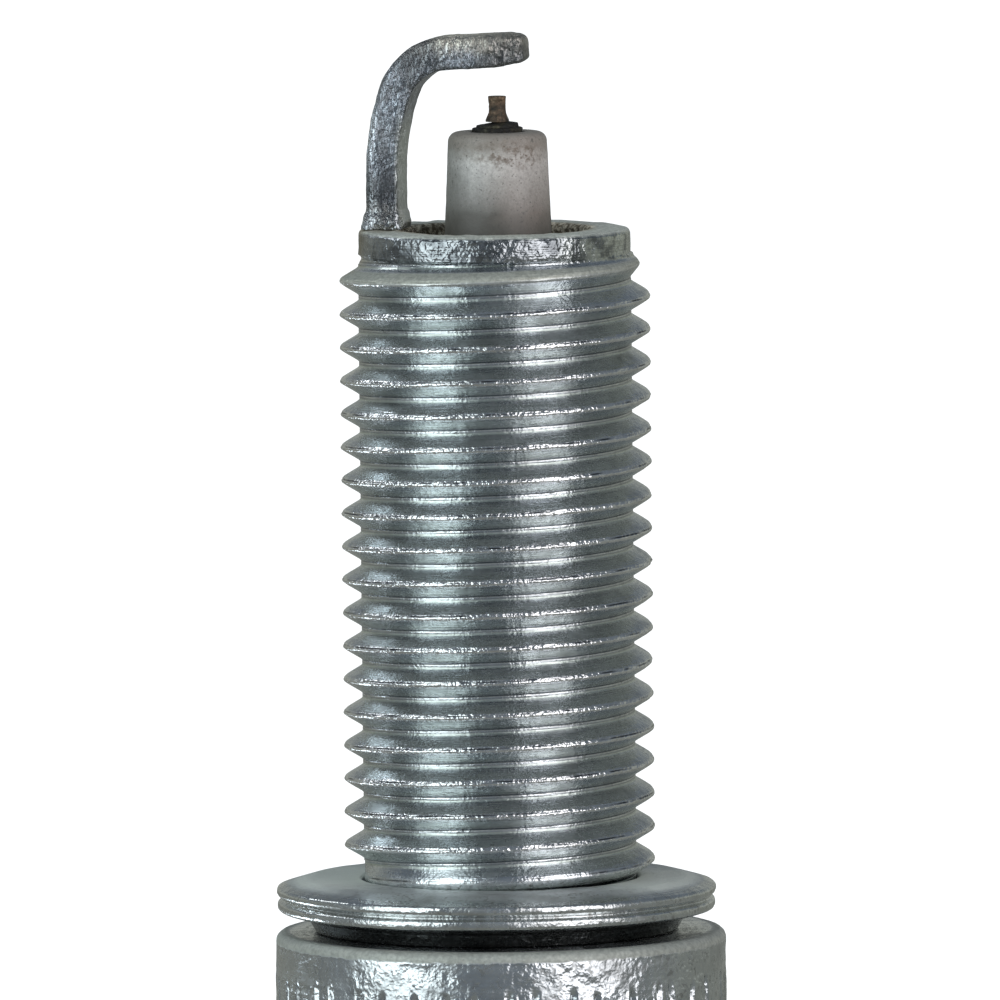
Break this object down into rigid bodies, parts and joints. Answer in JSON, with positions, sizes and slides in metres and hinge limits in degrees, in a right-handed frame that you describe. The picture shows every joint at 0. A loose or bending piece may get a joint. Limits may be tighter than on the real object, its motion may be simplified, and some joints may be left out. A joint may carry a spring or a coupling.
{
  "type": "motorcycle spark plug",
  "caption": "Long-reach spark plug with a fine-wire centre electrode, bent ground electrode, folded crush gasket, hexagon shell and ribbed insulator.",
  "frame": {"origin": "on the plug's axis, in the plane of the shell's gasket face", "axes": "+Z along the axis from the terminal to the electrodes; the ground electrode's leg stands at -X and its arm points to +X; two hexagon flats face +Y and -Y"},
  "size_m": [0.017, 0.017, 0.0843],
  "materials": {
    "plated_shell": "bright zinc plating over rolled and turned steel, nicked along the thread's crests",
    "plated_gasket": "zinc-plated folded sheet, satin on top, bright along the rolled edge",
    "electrode_nickel": "scratched and pitted grey nickel alloy",
    "precious_metal": "dull platinum alloy",
    "alumina": "matt warm-white firing end with soot mottling, glossy glaze on the terminal end",
    "sooted_nickel": "dark brown deposit on nickel alloy",
    "copper": "plain copper, hidden inside the sheath",
    "sooted_wire": "dark brown deposit on a precious-metal wire",
    "seal_glass": "fused copper and glass powder, hidden in the bore",
    "resistor_glass": "carbon and glass, hidden in the bore",
    "bare_steel": "plain mild steel",
    "plated_terminal": "bright nickel plating over turned steel",
    "talc": "tamped mineral powder, hidden in the shell"
  },
  "bodies": {
    "plug": {"shell": "plated_shell", "ground_electrode": "electrode_nickel", "ground_electrode_pad": "precious_metal", "insulator": "alumina", "center_electrode": "sooted_nickel", "center_electrode_core": "copper", "center_electrode_tip": "sooted_wire", "lower_glass_seal": "seal_glass", "suppressor_resistor": "resistor_glass", "upper_glass_seal": "seal_glass", "terminal_stud": "bare_steel", "inner_seal_washer": "bare_steel", "lower_packing_ring": "bare_steel", "talc_packing": "talc", "upper_packing_ring": "bare_steel"},
    "captive_gasket": {"gasket": "plated_gasket"},
    "screw_terminal": {"terminal_nut": "plated_terminal"}
  },
  "joints": [
    {"name": "gasket_turn", "type": "hinge", "parent": "plug", "child": "captive_gasket", "pos_m": [0, 0, 0], "axis": [0, 0, 1], "continuous": true},
    {"name": "terminal_unscrew", "type": "slide", "parent": "plug", "child": "screw_terminal", "axis": [0, 0, -1], "range_m": [0, 0.0075]}
  ]
}
